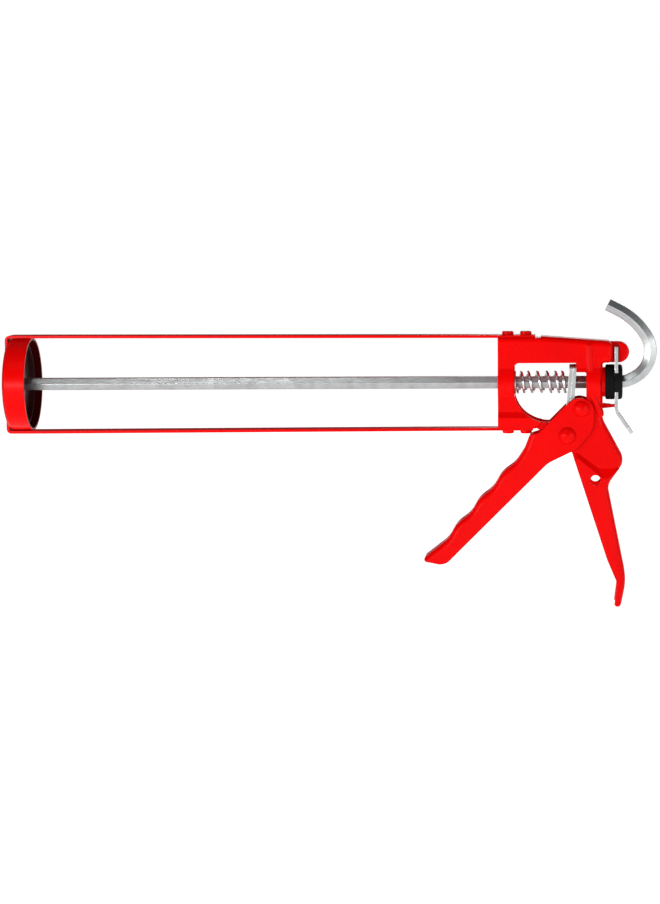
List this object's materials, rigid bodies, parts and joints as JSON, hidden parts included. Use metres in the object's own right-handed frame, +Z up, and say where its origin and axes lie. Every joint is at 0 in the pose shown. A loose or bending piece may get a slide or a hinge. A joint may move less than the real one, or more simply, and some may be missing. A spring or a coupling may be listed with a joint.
{
  "type": "caulking gun",
  "caption": "Skeleton caulking gun: strap cradle with round front cup, hexagonal push rod with hook, spring-loaded drive plates, channel trigger, fixed grip and release lever.",
  "frame": {"origin": "centre of the nozzle opening, at the front face of the cradle strap", "axes": "+X along the push rod, from the nozzle end towards the hook; +Z up, away from the grip; +Y to the gun's left, seen by the user who holds it"},
  "size_m": [0.3507, 0.05, 0.1636],
  "materials": {
    "red_paint": "glossy red stoving enamel",
    "zinc": "bright zinc plate, slightly mottled",
    "spring_wire": "bright plated spring wire",
    "dark_steel": "dark satin",
    "black_plastic": "matt black",
    "black_rubber": "matt black"
  },
  "bodies": {
    "frame": {"cradle_strap": "red_paint", "front_cup": "red_paint", "pistol_frame": "red_paint", "top_strap_rivets": "red_paint", "bottom_strap_rivets": "red_paint", "front_rod_guide": "red_paint", "rear_rod_guide": "red_paint", "pivot_spacer": "zinc", "pivot_rivet": "red_paint", "spring_seat_washer": "zinc", "main_spring": "spring_wire", "buffer_pad": "black_rubber"},
    "plunger": {"plunger_rod": "zinc", "rod_hook": "zinc", "plunger_disc": "dark_steel", "disc_washer": "dark_steel", "disc_nut": "zinc"},
    "drive_plates": {"front_drive_plate": "zinc", "rear_drive_plate": "zinc"},
    "trigger": {"trigger": "red_paint", "drive_pin": "red_paint"},
    "roller": {"drive_roller": "zinc"},
    "release": {"release_lever": "zinc", "lever_boss": "black_plastic"}
  },
  "joints": [
    {"name": "plunger_slide", "type": "slide", "parent": "frame", "child": "plunger", "axis": [1, 0, 0], "range_m": [0, 0.25]},
    {"name": "trigger_hinge", "type": "hinge", "parent": "frame", "child": "trigger", "pos_m": [0.3034, 0, -0.0279], "axis": [0, -1, 0], "range_deg": [0, 28], "stiffness_Nm_per_rad": 0.5, "springref_deg": -17.19},
    {"name": "drive_plate_slide", "type": "slide", "parent": "frame", "child": "drive_plates", "axis": [-1, 0, 0], "range_m": [0, 0.008], "deforming": ["main_spring"]},
    {"name": "roller_spin", "type": "hinge", "parent": "trigger", "child": "roller", "pos_m": [0.311, 0, -0.0136], "axis": [0, 1, 0], "continuous": true},
    {"name": "release_hinge", "type": "hinge", "parent": "frame", "child": "release", "pos_m": [0.3293, 0, 0.0161], "axis": [0, 1, 0], "range_deg": [0, 4.5], "stiffness_Nm_per_rad": 0.6, "springref_deg": -5.73, "deforming": ["buffer_pad"]}
  ],
  "couplings": [
    {"joint": "drive_plate_slide", "follows": "trigger_hinge", "m_per_rad": 0.0161}
  ]
}
